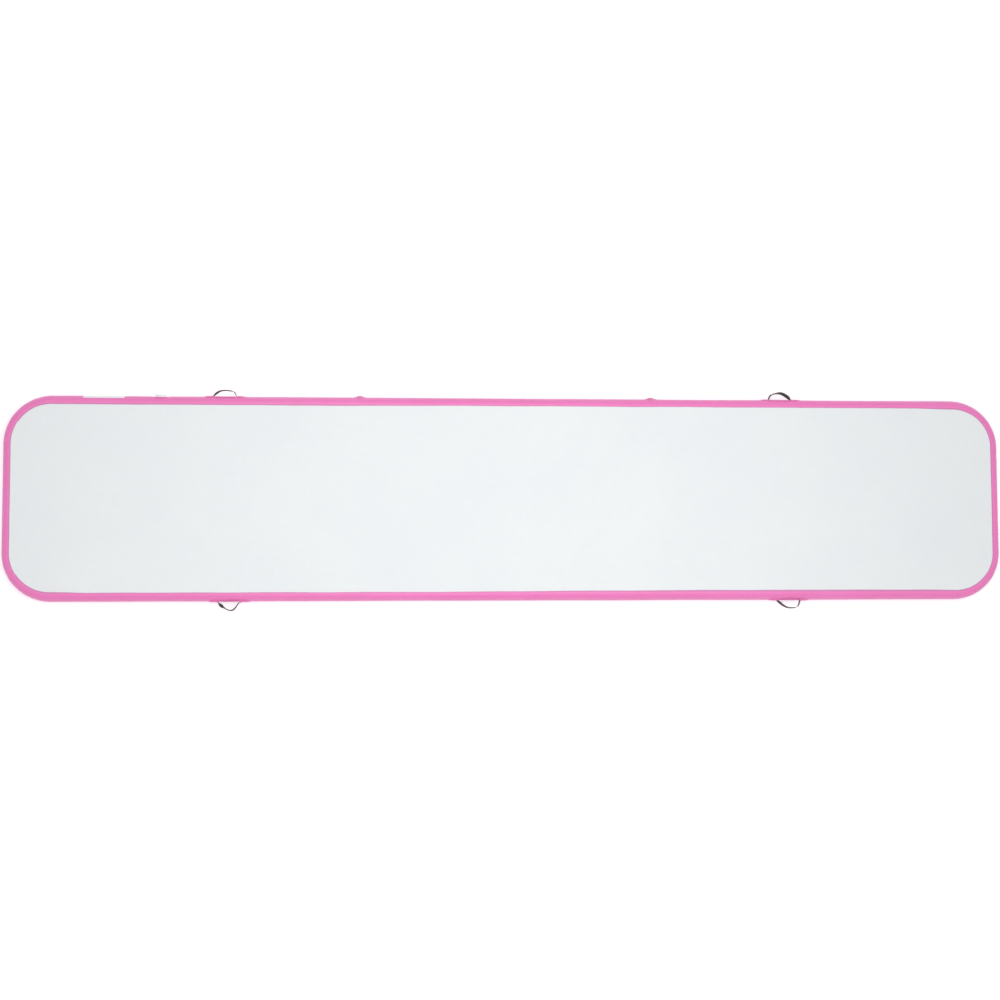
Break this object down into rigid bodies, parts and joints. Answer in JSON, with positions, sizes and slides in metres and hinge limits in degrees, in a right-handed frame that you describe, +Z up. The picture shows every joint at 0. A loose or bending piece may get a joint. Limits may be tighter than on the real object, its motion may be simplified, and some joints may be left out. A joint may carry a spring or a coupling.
{
  "type": "air track mat",
  "caption": "Long, low inflatable tumbling mat of drop-stitch cloth with a round wall, webbing carry handles, tie rings and a screw-capped inflation valve.",
  "frame": {"origin": "on the floor under the middle of the mat", "axes": "+X along the mat's length, +Y towards the side wall with the valve, +Z up"},
  "size_m": [5, 1.0976, 0.1],
  "materials": {
    "top_cloth": "coated cloth, fine embossed weave",
    "bottom_cloth": "coated cloth, fine embossed weave",
    "wall_cloth": "coated cloth, satin",
    "patch_cloth": "coated cloth, satin",
    "yarn": "matt",
    "webbing": "woven",
    "ring_steel": "satin",
    "spring_steel": "drawn wire",
    "valve_plastic": "moulded, satin",
    "rubber": "matt",
    "label_film": "satin film"
  },
  "bodies": {
    "mat": {"top_panel": "top_cloth", "bottom_panel": "bottom_cloth", "drop_stitch_yarn_1": "yarn", "drop_stitch_yarn_2": "yarn", "drop_stitch_yarn_3": "yarn", "drop_stitch_yarn_4": "yarn", "drop_stitch_yarn_5": "yarn", "inner_seam_strip": "bottom_cloth", "far_wall": "wall_cloth", "near_wall": "wall_cloth", "left_end_wall": "wall_cloth", "right_end_wall": "wall_cloth", "far_left_seam_tape": "wall_cloth", "far_right_seam_tape": "wall_cloth", "near_left_seam_tape": "wall_cloth", "near_right_seam_tape": "wall_cloth", "label": "label_film", "far_left_handle_base_patch": "patch_cloth", "far_left_handle_tail_cover_1": "patch_cloth", "far_left_handle_tail_cover_2": "patch_cloth", "far_right_handle_base_patch": "patch_cloth", "far_right_handle_tail_cover_1": "patch_cloth", "far_right_handle_tail_cover_2": "patch_cloth", "near_left_handle_base_patch": "patch_cloth", "near_left_handle_tail_cover_1": "patch_cloth", "near_left_handle_tail_cover_2": "patch_cloth", "near_right_handle_base_patch": "patch_cloth", "near_right_handle_tail_cover_1": "patch_cloth", "near_right_handle_tail_cover_2": "patch_cloth", "left_tie_patch": "patch_cloth", "left_tie_tab": "patch_cloth", "right_tie_patch": "patch_cloth", "right_tie_tab": "patch_cloth", "valve_patch": "patch_cloth", "outer_gasket": "rubber", "valve_body": "valve_plastic", "inner_gasket": "rubber", "valve_backing_nut": "valve_plastic", "valve_spring": "spring_steel", "tether_ring": "valve_plastic"},
    "far_left_handle": {"far_left_handle_strap": "webbing"},
    "far_right_handle": {"far_right_handle_strap": "webbing"},
    "near_left_handle": {"near_left_handle_strap": "webbing"},
    "near_right_handle": {"near_right_handle_strap": "webbing"},
    "left_tie_ring": {"left_tie_d_ring": "ring_steel"},
    "right_tie_ring": {"right_tie_d_ring": "ring_steel"},
    "tether": {"tether_strap": "valve_plastic"},
    "cap": {"valve_cap": "valve_plastic", "cap_seal": "rubber"},
    "poppet_disc": {"poppet_seal": "rubber"},
    "poppet": {"poppet_stem": "valve_plastic"}
  },
  "joints": [
    {"name": "far_left_handle_swing", "type": "hinge", "parent": "mat", "child": "far_left_handle", "pos_m": [-1.423, 0.5245, 0.05], "axis": [1, 0, 0], "range_deg": [-85, 85]},
    {"name": "far_right_handle_swing", "type": "hinge", "parent": "mat", "child": "far_right_handle", "pos_m": [1.377, 0.5245, 0.05], "axis": [1, 0, 0], "range_deg": [-85, 85]},
    {"name": "near_left_handle_swing", "type": "hinge", "parent": "mat", "child": "near_left_handle", "pos_m": [-1.395, -0.5245, 0.05], "axis": [-1, 0, 0], "range_deg": [-85, 85]},
    {"name": "near_right_handle_swing", "type": "hinge", "parent": "mat", "child": "near_right_handle", "pos_m": [1.405, -0.5245, 0.05], "axis": [-1, 0, 0], "range_deg": [-85, 85]},
    {"name": "left_tie_ring_swing", "type": "hinge", "parent": "mat", "child": "left_tie_ring", "pos_m": [-0.757, 0.5132, 0.05], "axis": [1, 0, 0], "range_deg": [-8, 188]},
    {"name": "right_tie_ring_swing", "type": "hinge", "parent": "mat", "child": "right_tie_ring", "pos_m": [0.711, 0.5132, 0.05], "axis": [1, 0, 0], "range_deg": [-8, 188]},
    {"name": "cap_rise", "type": "slide", "parent": "mat", "child": "tether", "axis": [0, 1, 0], "range_m": [0, 0.008]},
    {"name": "cap_turn", "type": "hinge", "parent": "tether", "child": "cap", "pos_m": [-1.737, 0.5113, 0.05], "axis": [0, 1, 0], "range_deg": [0, 720]},
    {"name": "poppet_press", "type": "slide", "parent": "mat", "child": "poppet_disc", "axis": [0, -1, 0], "range_m": [0, 0.006], "stiffness_N_per_m": 500, "springref_m": -0.002, "deforming": ["valve_spring"]},
    {"name": "poppet_turn", "type": "hinge", "parent": "poppet_disc", "child": "poppet", "pos_m": [-1.737, 0.49, 0.05], "axis": [0, -1, 0], "range_deg": [0, 90]}
  ],
  "couplings": [
    {"joint": "cap_rise", "follows": "cap_turn", "m_per_rad": 0.000636}
  ]
}
